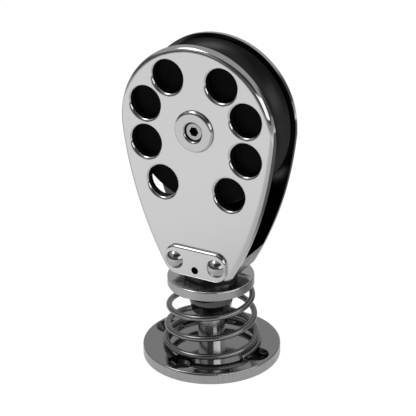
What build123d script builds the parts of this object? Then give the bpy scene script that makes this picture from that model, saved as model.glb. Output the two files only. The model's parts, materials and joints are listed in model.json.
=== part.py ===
from build123d import *
import os
from math import asin, cos, degrees, radians, sin, sqrt, tan

# Stand-up block: a sheave between two steel cheeks, carried by a ball joint
# on a deck plate and held upright by a conical compression spring.
# Frame: origin at the centre of the deck plate's underside, +Z up,
# the sheave's axis along Y, the front cheek towards -Y. Millimetres.

# Deck plate; the inset is from its edge to the middle of a deck screw, and
# the first screw stands at the start angle from +X
BASE_DIAMETER = 80.0
BASE_THICKNESS = 6.4
BASE_EDGE_RADIUS = 1.0
DECK_SCREW_COUNT = 4
DECK_SCREW_START_ANGLE = -5.5
DECK_SCREW_INSET = 9.8
DECK_SCREW_HOLE = 8.4
DECK_SCREW_SINK = 16.0
SINK_ANGLE = 90.0

# Post, standing on the deck plate, and its screw
POST_DIAMETER = 15.5
POST_HEIGHT = 17.6
POST_TAPER_HEIGHT = 2.0
POST_TENON_DIAMETER = 10.0
POST_TENON_DEPTH = 3.0
POST_SCREW_DIAMETER = 6.0
POST_SCREW_LENGTH = 18.0
POST_SCREW_SINK = 12.4
POST_SCREW_HEX = 4.0
POST_SCREW_HEX_DEPTH = 2.0
POST_SCREW_RECESS = 0.4

# Ball joint; the rise is from the post's shoulder up to the ball's centre, and
# the drop from that centre down to the socket's lower end
BALL_DIAMETER = 16.0
BALL_RISE = 14.0
BALL_THREAD_DIAMETER = 8.0
BALL_THREAD_DEPTH = 10.0
SOCKET_DROP = 11.0
SOCKET_WALL = 3.6
SOCKET_NOSE_HEIGHT = 7.0
SOCKET_NOSE_INSET = 1.4
SOCKET_CORNER_RADIUS = 1.5
SOCKET_FLANGE_INSET = 0.7
SOCKET_FLANGE_THICKNESS = 3.5
SOCKET_FLANGE_EDGE = 0.5
SOCKET_STEM_DIAMETER = 14.0
SOCKET_STEM_LENGTH = 11.0
SEAT_WALL = 1.0
SEAT_CROWN = 1.4
RING_HEIGHT = 8.4
RING_RECESS = 0.6
RING_LIP_RADIUS = 6.3
RING_MOUTH_RADIUS = 8.6
SWIVEL_WASHER_THICKNESS = 0.95

# Spring and the cup on top of it, whose groove hides the spring's upper end.
# The wire narrows evenly over the cone's turns, tucks in over the next stretch
# to the groove's radius, and keeps that radius to its end
CUP_DIAMETER = 50.0
CUP_THICKNESS = 5.5
CUP_EDGE_RADIUS = 0.8
CUP_RIM_EDGE_RADIUS = 0.4
CUP_RIM_WALL = 1.1
CUP_GROOVE_DEPTH = 4.0
CUP_GROOVE_CLEARANCE = 0.15
SPRING_HEIGHT = 42.1
SPRING_WIRE = 3.5
SPRING_BOTTOM_RADIUS = 27.4
SPRING_SHOULDER_RADIUS = 23.6
SPRING_START_ANGLE = -23.0
SPRING_TURNS = 4.5
SPRING_CONE_TURNS = 3.2
SPRING_TUCK_TURNS = 0.4
SPRING_LOWER_CLOSED_TURNS = 1.05
SPRING_UPPER_CLOSED_TURNS = 0.6
SPRING_CLOSED_GAP = 0.1
SPRING_EASE_TURNS = 0.1
SPRING_TIP_THICKNESS = 2.0
SPRING_POINTS_PER_TURN = 18

# Cheeks; the rise is from their foot up to the hub's centre
CHEEK_THICKNESS = 5.0
FOOT_WIDTH = 40.1
HUB_RISE = 88.25
CROWN_RADIUS = 47.5
SIDE_TANGENT_ANGLE = 6.4
FOOT_CORNER_RADIUS = 6.0
CHEEK_EDGE_RADIUS = 3.0
LIGHTENING_RIM_RADIUS = 1.8
LIGHTENING_MARGIN = 5.1
LIGHTENING_WEB = 3.8
LIGHTENING_START_ANGLE = 30.0
LIGHTENING_PITCH = 40.0
LIGHTENING_PAIRS = 3
LOWER_HOLE_OUTSET = 6.5
LOWER_HOLE_ANGLE = 148.0

# Foot of the head: straps, lug, rivets and cross pin, their insets measured
# from the foot's corners and their rises from its lower edge
STRAP_INSET = 0.55
STRAP_HEIGHT = 17.9
STRAP_THICKNESS = 2.2
STRAP_CORNER_RADIUS = 7.0
STRAP_EDGE_RADIUS = 1.4
LUG_HEIGHT = 15.5
RIVET_INSET = 6.95
RIVET_RISE = 9.1
RIVET_SHANK = 6.0
RIVET_DOME_DIAMETER = 11.0
RIVET_DOME_HEIGHT = 3.4
CROSS_PIN_DIAMETER = 4.4
CROSS_PIN_RISE = 5.1
CROSS_PIN_RECESS = 5.0

# Sheave, axle and hub caps
SHEAVE_DIAMETER = 90.4
SHEAVE_WIDTH = 21.0
SHEAVE_RIM_LAND = 1.0
GROOVE_DEPTH = 6.2
BUSH_DIAMETER = 26.0
AXLE_DIAMETER = 20.0
THRUST_WASHER_DIAMETER = 36.0
THRUST_WASHER_THICKNESS = 0.6
HUB_CAP_DIAMETER = 24.0
HUB_CAP_PROUD = 2.0
HUB_CAP_EDGE_RADIUS = 1.8
HUB_CAP_WALL = 1.8
HUB_CAP_FLOOR = 1.2
HUB_CAP_MOUTH_RADIUS = 1.1
HUB_CAP_SCREW_CLEARANCE = 0.5
AXLE_SCREW_DIAMETER = 6.0
AXLE_SCREW_LENGTH = 10.0
AXLE_SCREW_HEAD = 10.0
AXLE_SCREW_HEAD_HEIGHT = 4.0
AXLE_SCREW_HEAD_EDGE = 0.5
AXLE_SCREW_HEX = 5.0
AXLE_SCREW_HEX_DEPTH = 2.6

# Clearances
RUNNING_CLEARANCE = 0.05
SIDE_PLAY = 0.1
LOOSE_CLEARANCE = 0.2

# Heights that follow from the sizes above, from the deck upwards
tenon_bottom = BASE_THICKNESS - POST_TENON_DEPTH
post_top = BASE_THICKNESS + POST_HEIGHT
neck_bottom = post_top + POST_TAPER_HEIGHT
ball_centre = post_top + BALL_RISE
ball_radius = BALL_DIAMETER / 2
thread_top = ball_centre - ball_radius + BALL_THREAD_DEPTH
socket_bottom = ball_centre - SOCKET_DROP
ring_bottom = socket_bottom + RING_RECESS
ring_top = ring_bottom + RING_HEIGHT
seat_sphere_radius = ball_radius + RUNNING_CLEARANCE
seat_top = ball_centre + seat_sphere_radius + SEAT_CROWN
spring_top = BASE_THICKNESS + SPRING_HEIGHT
cup_bottom = spring_top - CUP_GROOVE_DEPTH
cup_top = cup_bottom + CUP_THICKNESS
swivel_washer_bottom = cup_top + RUNNING_CLEARANCE
flange_bottom = swivel_washer_bottom + SWIVEL_WASHER_THICKNESS
cheek_foot = flange_bottom + SOCKET_FLANGE_THICKNESS
stem_top = cheek_foot + SOCKET_STEM_LENGTH
cross_pin_height = cheek_foot + CROSS_PIN_RISE
rivet_height = cheek_foot + RIVET_RISE
hub_height = cheek_foot + HUB_RISE

# Widths that follow, and faces counted outwards from the middle of the head
socket_bore = BALL_DIAMETER + 2 * SEAT_WALL
socket_diameter = socket_bore + 2 * SOCKET_WALL
strap_width = FOOT_WIDTH - 2 * STRAP_INSET
rivet_offset = FOOT_WIDTH / 2 - RIVET_INSET
cheek_gap = SHEAVE_WIDTH + 2 * (THRUST_WASHER_THICKNESS + SIDE_PLAY)
inner_face = cheek_gap / 2
outer_face = inner_face + CHEEK_THICKNESS
strap_face = outer_face + STRAP_THICKNESS
cap_face = outer_face + HUB_CAP_PROUD
flange_diameter = 2 * (outer_face - SOCKET_FLANGE_INSET)
hub_cap_pocket = AXLE_SCREW_HEAD + 2 * HUB_CAP_SCREW_CLEARANCE
hub_cap_spigot = hub_cap_pocket + 2 * HUB_CAP_WALL


def save(builder, label):
    """Name a finished piece and write it as one STEP file."""
    builder.part.label = label
    export_step(builder.part, f"parts/{label}.step")


os.makedirs("parts", exist_ok=True)

# Deck plate: a turned disc with four countersunk deck-screw holes, and a
# tenon seat above a countersink for the screw that holds the post
with BuildPart() as base_plate:
    with BuildSketch():
        Circle(BASE_DIAMETER / 2)
    extrude(amount=BASE_THICKNESS)
    fillet(base_plate.edges().group_by(Axis.Z)[-1], radius=BASE_EDGE_RADIUS)
    with Locations(Plane.XY.offset(BASE_THICKNESS)):
        with PolarLocations(BASE_DIAMETER / 2 - DECK_SCREW_INSET, DECK_SCREW_COUNT, DECK_SCREW_START_ANGLE):
            CounterSinkHole(DECK_SCREW_HOLE / 2, DECK_SCREW_SINK / 2, counter_sink_angle=SINK_ANGLE)
    with BuildSketch(Plane.XY.offset(BASE_THICKNESS)):
        Circle(POST_TENON_DIAMETER / 2)
    extrude(amount=-POST_TENON_DEPTH, mode=Mode.SUBTRACT)
    with Locations(Plane.XY.rotated((180, 0, 0))):
        CounterSinkHole(
            (POST_SCREW_DIAMETER + LOOSE_CLEARANCE) / 2, POST_SCREW_SINK / 2, counter_sink_angle=SINK_ANGLE
        )

# Post: pillar with a tenon below and a threaded neck for the ball above
with BuildPart() as post:
    with BuildSketch(Plane.XZ):
        with BuildLine():
            Polyline(
                (0, tenon_bottom),
                (POST_TENON_DIAMETER / 2, tenon_bottom),
                (POST_TENON_DIAMETER / 2, BASE_THICKNESS),
                (POST_DIAMETER / 2, BASE_THICKNESS),
                (POST_DIAMETER / 2, post_top),
                (BALL_THREAD_DIAMETER / 2, neck_bottom),
                (BALL_THREAD_DIAMETER / 2, thread_top),
                (0, thread_top),
                close=True,
            )
        make_face()
    revolve(axis=Axis.Z)
    with BuildSketch(Plane.XY.offset(tenon_bottom)):
        Circle(POST_SCREW_DIAMETER / 2)
    extrude(amount=POST_SCREW_LENGTH - tenon_bottom, mode=Mode.SUBTRACT)

# Post screw: countersunk, driven from under the deck plate
sink_slope = tan(radians(SINK_ANGLE / 2))
head_radius = POST_SCREW_SINK / 2 - POST_SCREW_RECESS * sink_slope
head_height = (head_radius - POST_SCREW_DIAMETER / 2) / sink_slope
with BuildPart() as post_screw:
    with BuildSketch(Plane.XZ):
        with BuildLine():
            Polyline(
                (0, POST_SCREW_RECESS),
                (head_radius, POST_SCREW_RECESS),
                (POST_SCREW_DIAMETER / 2, POST_SCREW_RECESS + head_height),
                (POST_SCREW_DIAMETER / 2, POST_SCREW_LENGTH),
                (0, POST_SCREW_LENGTH),
                close=True,
            )
        make_face()
    revolve(axis=Axis.Z)
    with BuildSketch(Plane.XY.offset(POST_SCREW_RECESS)):
        RegularPolygon(POST_SCREW_HEX / 2, 6, major_radius=False)
    extrude(amount=POST_SCREW_HEX_DEPTH, mode=Mode.SUBTRACT)

# Pivot ball: screwed on the post's neck
with BuildPart() as pivot_ball:
    with Locations((0, 0, ball_centre)):
        Sphere(ball_radius)
    with BuildSketch(Plane.XY.offset(thread_top - BALL_THREAD_DEPTH)):
        Circle(BALL_THREAD_DIAMETER / 2)
    extrude(amount=BALL_THREAD_DEPTH, mode=Mode.SUBTRACT)

# Ball seat: plastic cap over the upper part of the ball
with BuildPart() as ball_seat:
    with BuildSketch(Plane.XY.offset(ring_top)):
        Circle(socket_bore / 2)
    extrude(amount=seat_top - ring_top)
    with Locations((0, 0, ball_centre)):
        Sphere(seat_sphere_radius, mode=Mode.SUBTRACT)

# Socket ring: threaded ring under the ball, with a mouth that lets the neck swing
lip_height = ball_centre - sqrt(seat_sphere_radius**2 - RING_LIP_RADIUS**2)
with BuildPart() as socket_ring:
    with BuildSketch(Plane.XY.offset(ring_bottom)):
        Circle(socket_bore / 2)
    extrude(amount=RING_HEIGHT)
    with Locations((0, 0, ball_centre)):
        Sphere(seat_sphere_radius, mode=Mode.SUBTRACT)
    with BuildSketch(Plane.XZ):
        with BuildLine():
            Polyline(
                (0, ring_bottom),
                (RING_MOUTH_RADIUS, ring_bottom),
                (RING_LIP_RADIUS, lip_height),
                (0, lip_height),
                close=True,
            )
        make_face()
    revolve(axis=Axis.Z, mode=Mode.SUBTRACT)

# Ball socket: neck with a tapered nose, flange and the stem pinned into the lug
with BuildPart() as ball_socket:
    with BuildSketch(Plane.XZ):
        with BuildLine():
            Polyline(
                (0, seat_top),
                (socket_bore / 2, seat_top),
                (socket_bore / 2, socket_bottom),
                (socket_diameter / 2 - SOCKET_NOSE_INSET, socket_bottom),
                (socket_diameter / 2, socket_bottom + SOCKET_NOSE_HEIGHT),
                (socket_diameter / 2, flange_bottom),
                (flange_diameter / 2, flange_bottom),
                (flange_diameter / 2, cheek_foot),
                (SOCKET_STEM_DIAMETER / 2, cheek_foot),
                (SOCKET_STEM_DIAMETER / 2, stem_top),
                (0, stem_top),
                close=True,
            )
        make_face()
    revolve(axis=Axis.Z)
    fillet(ball_socket.edges().group_by(Axis.Z)[0].sort_by(SortBy.RADIUS)[-1], radius=SOCKET_CORNER_RADIUS)
    flange_edges = ball_socket.edges().filter_by(GeomType.CIRCLE).sort_by(SortBy.RADIUS)[-2:]
    fillet(flange_edges, radius=SOCKET_FLANGE_EDGE)
    with BuildSketch(Plane.XZ.offset(-SOCKET_STEM_DIAMETER)):
        with Locations((0, cross_pin_height)):
            Circle(CROSS_PIN_DIAMETER / 2)
    extrude(amount=2 * SOCKET_STEM_DIAMETER, mode=Mode.SUBTRACT)

# Swivel washer: plastic thrust washer between the cup and the flange
with BuildPart() as swivel_washer:
    with BuildSketch(Plane.XY.offset(swivel_washer_bottom)):
        Circle(flange_diameter / 2)
        Circle(socket_diameter / 2 + RUNNING_CLEARANCE, mode=Mode.SUBTRACT)
    extrude(amount=SWIVEL_WASHER_THICKNESS)

# Spring cup: turned plate that slides over the socket's neck, with a groove
# round its underside for the spring's upper end
groove_outer_radius = CUP_DIAMETER / 2 - CUP_RIM_WALL
top_radius = groove_outer_radius - CUP_GROOVE_CLEARANCE - SPRING_WIRE / 2
groove_inner_radius = top_radius - SPRING_WIRE / 2 - CUP_GROOVE_CLEARANCE
with BuildPart() as spring_cup:
    with BuildSketch(Plane.XY.offset(cup_bottom)):
        Circle(CUP_DIAMETER / 2)
        Circle(socket_diameter / 2 + RUNNING_CLEARANCE, mode=Mode.SUBTRACT)
    extrude(amount=CUP_THICKNESS)
    cup_edges = spring_cup.edges().filter_by(GeomType.CIRCLE).sort_by(SortBy.RADIUS)[-2:]
    lower_edge, upper_edge = cup_edges.sort_by(Axis.Z)
    fillet(upper_edge, radius=CUP_EDGE_RADIUS)
    fillet(lower_edge, radius=CUP_RIM_EDGE_RADIUS)
    with BuildSketch(Plane.XY.offset(cup_bottom)):
        Circle(groove_outer_radius)
        Circle(groove_inner_radius, mode=Mode.SUBTRACT)
    extrude(amount=CUP_GROOVE_DEPTH, mode=Mode.SUBTRACT)

# Spring: conical, right-handed, with a closed and ground stretch at each end
tip_height = SPRING_TIP_THICKNESS - SPRING_WIRE / 2
spring_length = SPRING_HEIGHT - 2 * tip_height
closed_pitch = SPRING_WIRE + SPRING_CLOSED_GAP
closed_turns = SPRING_LOWER_CLOSED_TURNS + SPRING_UPPER_CLOSED_TURNS
active_pitch = (spring_length - closed_pitch * closed_turns) / (SPRING_TURNS - closed_turns)


def end_climb(turn, closed):
    """Height reached after so many turns from an end that is closed so far.

    The closed stretch climbs one wire at a time, the turns after it climb at
    the active pitch, and a short eased stretch joins the two.
    """
    past_closed = turn - closed
    if past_closed <= -SPRING_EASE_TURNS:
        active = 0.0
    elif past_closed < SPRING_EASE_TURNS:
        active = (past_closed + SPRING_EASE_TURNS) ** 2 / (4 * SPRING_EASE_TURNS)
    else:
        active = past_closed
    return closed_pitch * turn + (active_pitch - closed_pitch) * active


def wire_radius(turn):
    """Radius of the wire's centre line: a cone, a smooth tuck, then the groove's radius."""
    cone = min(turn / SPRING_CONE_TURNS, 1.0)
    tuck = min(max((turn - SPRING_CONE_TURNS) / SPRING_TUCK_TURNS, 0.0), 1.0)
    shoulder = SPRING_BOTTOM_RADIUS + (SPRING_SHOULDER_RADIUS - SPRING_BOTTOM_RADIUS) * cone
    return shoulder + (top_radius - SPRING_SHOULDER_RADIUS) * tuck**2 * (3 - 2 * tuck)


def spring_point(turn):
    """Point on the wire's centre line after so many turns."""
    if turn <= SPRING_TURNS / 2:
        climb = end_climb(turn, SPRING_LOWER_CLOSED_TURNS)
    else:
        climb = spring_length - end_climb(SPRING_TURNS - turn, SPRING_UPPER_CLOSED_TURNS)
    radius = wire_radius(turn)
    angle = radians(SPRING_START_ANGLE + 360 * turn)
    return (radius * cos(angle), radius * sin(angle), BASE_THICKNESS + tip_height + climb)


spring_steps = round(SPRING_TURNS * SPRING_POINTS_PER_TURN)
spring_points = [spring_point(SPRING_TURNS * step / spring_steps) for step in range(spring_steps + 1)]
with BuildPart() as spring:
    with BuildLine() as spring_line:
        Spline(*spring_points)
    with BuildSketch(Plane(origin=spring_line.line @ 0, z_dir=spring_line.line % 0)):
        Circle(SPRING_WIRE / 2)
    sweep(path=spring_line.line)
    split(bisect_by=Plane.XY.offset(BASE_THICKNESS), keep=Keep.TOP)
    split(bisect_by=Plane.XY.offset(spring_top), keep=Keep.BOTTOM)

# Outline of a cheek: a crown round the hub, two large side arcs tangent to it
# and a straight foot with rounded corners. A side arc leaves the crown at the
# tangent angle and ends at the foot's corner, which gives its radius: the
# overshoot is how much longer it is than the crown's.
side_start = radians(SIDE_TANGENT_ANGLE)
overshoot = ((FOOT_WIDTH / 2) ** 2 + HUB_RISE**2 - CROWN_RADIUS**2) / (
    2 * CROWN_RADIUS - FOOT_WIDTH * cos(side_start) - 2 * HUB_RISE * sin(side_start)
)
side_radius = CROWN_RADIUS + overshoot
side_sweep = degrees(asin((HUB_RISE + overshoot * sin(side_start)) / side_radius)) - SIDE_TANGENT_ANGLE
tangent_x = CROWN_RADIUS * cos(side_start)
tangent_z = hub_height - CROWN_RADIUS * sin(side_start)
with BuildSketch(Plane.XZ.offset(inner_face)) as cheek_outline:
    with BuildLine():
        crown_top = (0, hub_height + CROWN_RADIUS)
        crown = ThreePointArc((tangent_x, tangent_z), crown_top, (-tangent_x, tangent_z))
        left_side = JernArc(crown @ 1, crown % 1, side_radius, side_sweep)
        right_side = mirror(left_side, about=Plane.YZ)
        Line(left_side @ 1, right_side @ 1)
    make_face()
    fillet(cheek_outline.vertices().group_by(Axis.Y)[0], radius=FOOT_CORNER_RADIUS)

# Lightening holes: pairs of one size along the crown, as wide as the margin
# outside them and the web between them allow, and a lower pair further out
half_chord = sin(radians(LIGHTENING_PITCH / 2))
crown_reach = (CROWN_RADIUS - LIGHTENING_MARGIN + LIGHTENING_WEB / 2) / (1 + half_chord)
lightening_radius = crown_reach * half_chord - LIGHTENING_WEB / 2
hole_places = [
    (crown_reach, LIGHTENING_START_ANGLE + pair * LIGHTENING_PITCH) for pair in range(LIGHTENING_PAIRS)
]
hole_places.append((crown_reach + LOWER_HOLE_OUTSET, LOWER_HOLE_ANGLE))
hole_centres = [
    (side * reach * sin(radians(angle)), hub_height + reach * cos(radians(angle)))
    for reach, angle in hole_places
    for side in (-1, 1)
]
rivet_centres = [(side * rivet_offset, rivet_height) for side in (-1, 1)]

# The rims round the holes leave a narrow flat between them and beside the edge
flat_web = LIGHTENING_WEB / 2 - RUNNING_CLEARANCE
flat_margin = LIGHTENING_MARGIN - CHEEK_EDGE_RADIUS - RUNNING_CLEARANCE
rim_radius = min(LIGHTENING_RIM_RADIUS, flat_web, flat_margin)

# Cheeks: polished plates, rounded on the outside
with BuildPart() as front_cheek:
    extrude(cheek_outline.sketch, amount=CHEEK_THICKNESS)
    outer_edges = front_cheek.faces().sort_by(Axis.Y)[0].edges()
    fillet(outer_edges, radius=CHEEK_EDGE_RADIUS)
    with BuildSketch(Plane.XZ.offset(inner_face)):
        with Locations(*hole_centres):
            Circle(lightening_radius)
        with Locations((0, hub_height)):
            Circle(hub_cap_spigot / 2)
        with Locations(*rivet_centres):
            Circle(RIVET_SHANK / 2)
        with Locations((0, cross_pin_height)):
            Circle(CROSS_PIN_DIAMETER / 2)
    extrude(amount=CHEEK_THICKNESS, mode=Mode.SUBTRACT)
    face_circles = front_cheek.edges().filter_by(GeomType.CIRCLE).group_by(Axis.Y)[0]
    rims = face_circles.filter_by(lambda edge: abs(edge.radius - lightening_radius) < RUNNING_CLEARANCE)
    fillet(rims, radius=rim_radius)
with BuildPart() as rear_cheek:
    mirror(front_cheek.part, about=Plane.XZ)

# Straps: foot plates on the outside of the cheeks
with BuildPart() as front_strap:
    with BuildSketch(Plane.XZ.offset(outer_face)):
        with Locations((0, cheek_foot + STRAP_HEIGHT / 2)):
            RectangleRounded(strap_width, STRAP_HEIGHT, STRAP_CORNER_RADIUS)
    extrude(amount=STRAP_THICKNESS)
    extrude(cheek_outline.sketch, amount=strap_face, mode=Mode.INTERSECT)
    fillet(front_strap.faces().sort_by(Axis.Y)[0].edges(), radius=STRAP_EDGE_RADIUS)
    with BuildSketch(Plane.XZ.offset(outer_face)):
        with Locations(*rivet_centres):
            Circle(RIVET_SHANK / 2)
        with Locations((0, cross_pin_height)):
            Circle(CROSS_PIN_DIAMETER / 2)
    extrude(amount=STRAP_THICKNESS, mode=Mode.SUBTRACT)
with BuildPart() as rear_strap:
    mirror(front_strap.part, about=Plane.XZ)

# Lug: spacer between the cheeks, bored for the socket's stem
with BuildPart() as lug:
    extrude(cheek_outline.sketch, amount=-cheek_gap)
    split(bisect_by=Plane.XY.offset(cheek_foot + LUG_HEIGHT), keep=Keep.BOTTOM)
    with BuildSketch(Plane.XY.offset(cheek_foot)):
        Circle(SOCKET_STEM_DIAMETER / 2)
    extrude(amount=SOCKET_STEM_LENGTH, mode=Mode.SUBTRACT)
    with BuildSketch(Plane.XZ.offset(inner_face)):
        with Locations(*rivet_centres):
            Circle(RIVET_SHANK / 2)
        with Locations((0, cross_pin_height)):
            Circle(CROSS_PIN_DIAMETER / 2)
    extrude(amount=-cheek_gap, mode=Mode.SUBTRACT)

# Cross pin: locks the stem in the lug, its ends sunk below the straps
with BuildPart() as cross_pin:
    with BuildSketch(Plane.XZ.offset(strap_face - CROSS_PIN_RECESS)):
        with Locations((0, cross_pin_height)):
            Circle(CROSS_PIN_DIAMETER / 2)
    extrude(amount=-2 * (strap_face - CROSS_PIN_RECESS))

# Rivets: straight shanks with a dome on each strap
dome_radius = ((RIVET_DOME_DIAMETER / 2) ** 2 + RIVET_DOME_HEIGHT**2) / (2 * RIVET_DOME_HEIGHT)
rivets = {}
for label, rivet_x in (("left_rivet", -rivet_offset), ("right_rivet", rivet_offset)):
    with BuildPart() as rivet:
        with BuildSketch(Plane.XY.offset(rivet_height)):
            with BuildLine():
                dome_foot = (rivet_x + RIVET_DOME_DIAMETER / 2, -strap_face)
                dome_top = (rivet_x, -strap_face - RIVET_DOME_HEIGHT)
                centre_line = Line((rivet_x, 0), dome_top)
                RadiusArc(dome_top, dome_foot, -dome_radius)
                Polyline(
                    dome_foot,
                    (rivet_x + RIVET_SHANK / 2, -strap_face),
                    (rivet_x + RIVET_SHANK / 2, 0),
                    (rivet_x, 0),
                )
            make_face()
        revolve(axis=Axis((rivet_x, 0, rivet_height), (0, 1, 0)))
        mirror(about=Plane.XZ)
    rivets[label] = rivet

# Sheave: grooved wheel with a bore for the bush
groove_half_width = SHEAVE_WIDTH / 2 - SHEAVE_RIM_LAND
groove_radius = (groove_half_width**2 + GROOVE_DEPTH**2) / (2 * GROOVE_DEPTH)
with BuildPart() as sheave:
    with BuildSketch(Plane.YZ):
        with BuildLine():
            rim_z = hub_height + SHEAVE_DIAMETER / 2
            bore_z = hub_height + BUSH_DIAMETER / 2
            Polyline(
                (-groove_half_width, rim_z),
                (-SHEAVE_WIDTH / 2, rim_z),
                (-SHEAVE_WIDTH / 2, bore_z),
                (SHEAVE_WIDTH / 2, bore_z),
                (SHEAVE_WIDTH / 2, rim_z),
                (groove_half_width, rim_z),
            )
            ThreePointArc(
                (-groove_half_width, rim_z), (0, rim_z - GROOVE_DEPTH), (groove_half_width, rim_z)
            )
        make_face()
    revolve(axis=Axis((0, 0, hub_height), (0, 1, 0)))

# Bearing bush: pressed into the sheave, running on the axle
with BuildPart() as bearing_bush:
    with BuildSketch(Plane.XZ.offset(SHEAVE_WIDTH / 2)):
        with Locations((0, hub_height)):
            Circle(BUSH_DIAMETER / 2)
            Circle(AXLE_DIAMETER / 2 + RUNNING_CLEARANCE, mode=Mode.SUBTRACT)
    extrude(amount=-SHEAVE_WIDTH)

# Axle: bar clamped between the cheeks, tapped at both ends
cap_inner_end = inner_face + LOOSE_CLEARANCE
with BuildPart() as axle:
    with BuildSketch(Plane.XZ.offset(inner_face)):
        with Locations((0, hub_height)):
            Circle(AXLE_DIAMETER / 2)
    extrude(amount=-cheek_gap)
    screw_depth = AXLE_SCREW_LENGTH - HUB_CAP_FLOOR
    for face in (inner_face, -inner_face):
        with BuildSketch(Plane.XZ.offset(face)):
            with Locations((0, hub_height)):
                Circle(AXLE_SCREW_DIAMETER / 2)
        extrude(amount=-screw_depth if face > 0 else screw_depth, mode=Mode.SUBTRACT)

# Thrust washers: between the sheave and each cheek
with BuildPart() as front_thrust_washer:
    with BuildSketch(Plane.XZ.offset(inner_face)):
        with Locations((0, hub_height)):
            Circle(THRUST_WASHER_DIAMETER / 2)
            Circle(AXLE_DIAMETER / 2 + RUNNING_CLEARANCE, mode=Mode.SUBTRACT)
    extrude(amount=-THRUST_WASHER_THICKNESS)
with BuildPart() as rear_thrust_washer:
    mirror(front_thrust_washer.part, about=Plane.XZ)

# Hub caps: flanged discs whose spigots fill the cheeks' bores, with a dished
# mouth and a counterbore for the axle screw
pocket_floor = cap_inner_end + HUB_CAP_FLOOR
with BuildPart() as front_hub_cap:
    with BuildSketch(Plane.XZ.offset(outer_face)):
        with Locations((0, hub_height)):
            Circle(HUB_CAP_DIAMETER / 2)
    extrude(amount=HUB_CAP_PROUD)
    fillet(front_hub_cap.faces().sort_by(Axis.Y)[0].edges(), radius=HUB_CAP_EDGE_RADIUS)
    with BuildSketch(Plane.XZ.offset(cap_inner_end)):
        with Locations((0, hub_height)):
            Circle(hub_cap_spigot / 2)
    extrude(amount=outer_face - cap_inner_end)
    with BuildSketch(Plane.XZ.offset(cap_inner_end)):
        with Locations((0, hub_height)):
            Circle(AXLE_SCREW_DIAMETER / 2 + LOOSE_CLEARANCE)
    extrude(amount=HUB_CAP_FLOOR, mode=Mode.SUBTRACT)
    with BuildSketch(Plane.XZ.offset(pocket_floor)):
        with Locations((0, hub_height)):
            Circle(hub_cap_pocket / 2)
    extrude(amount=cap_face - pocket_floor, mode=Mode.SUBTRACT)
    mouth = front_hub_cap.edges().filter_by(GeomType.CIRCLE).group_by(Axis.Y)[0].sort_by(SortBy.RADIUS)[0]
    fillet(mouth, radius=HUB_CAP_MOUTH_RADIUS)
with BuildPart() as rear_hub_cap:
    mirror(front_hub_cap.part, about=Plane.XZ)

# Axle screws: cap screws with a hex socket, heads sunk in the hub caps
head_top = pocket_floor + AXLE_SCREW_HEAD_HEIGHT
with BuildPart() as front_axle_screw:
    with BuildSketch(Plane.XZ.offset(pocket_floor)):
        with Locations((0, hub_height)):
            Circle(AXLE_SCREW_HEAD / 2)
    extrude(amount=AXLE_SCREW_HEAD_HEIGHT)
    fillet(front_axle_screw.faces().sort_by(Axis.Y)[0].edges(), radius=AXLE_SCREW_HEAD_EDGE)
    with BuildSketch(Plane.XZ.offset(pocket_floor)):
        with Locations((0, hub_height)):
            Circle(AXLE_SCREW_DIAMETER / 2)
    extrude(amount=-AXLE_SCREW_LENGTH)
    with BuildSketch(Plane.XZ.offset(head_top)):
        with Locations((0, hub_height)):
            RegularPolygon(AXLE_SCREW_HEX / 2, 6, major_radius=False)
    extrude(amount=-AXLE_SCREW_HEX_DEPTH, mode=Mode.SUBTRACT)
with BuildPart() as rear_axle_screw:
    mirror(front_axle_screw.part, about=Plane.XZ)

pieces = {
    "base_plate": base_plate,
    "post": post,
    "post_screw": post_screw,
    "pivot_ball": pivot_ball,
    "ball_seat": ball_seat,
    "socket_ring": socket_ring,
    "ball_socket": ball_socket,
    "swivel_washer": swivel_washer,
    "spring_cup": spring_cup,
    "spring": spring,
    "front_cheek": front_cheek,
    "rear_cheek": rear_cheek,
    "front_strap": front_strap,
    "rear_strap": rear_strap,
    "lug": lug,
    "cross_pin": cross_pin,
    "sheave": sheave,
    "bearing_bush": bearing_bush,
    "axle": axle,
    "front_thrust_washer": front_thrust_washer,
    "rear_thrust_washer": rear_thrust_washer,
    "front_hub_cap": front_hub_cap,
    "rear_hub_cap": rear_hub_cap,
    "front_axle_screw": front_axle_screw,
    "rear_axle_screw": rear_axle_screw,
    **rivets,
}
for label, piece in pieces.items():
    save(piece, label)
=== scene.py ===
"""Looks of the stand-up block: finishes, the wound spring, the turned sheave, the studio and the camera.

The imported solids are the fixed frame, in metres, with +Z up. The solids whose shape is right keep
their mesh and get a finish. The spring and the sheave are new surfaces, worked out with numpy from
a few driving sizes and from the frame's own boxes.
"""

import json
import logging
import math
from dataclasses import dataclass
from enum import Enum

import bpy
import numpy as np
from mathutils import Matrix, Vector

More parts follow.
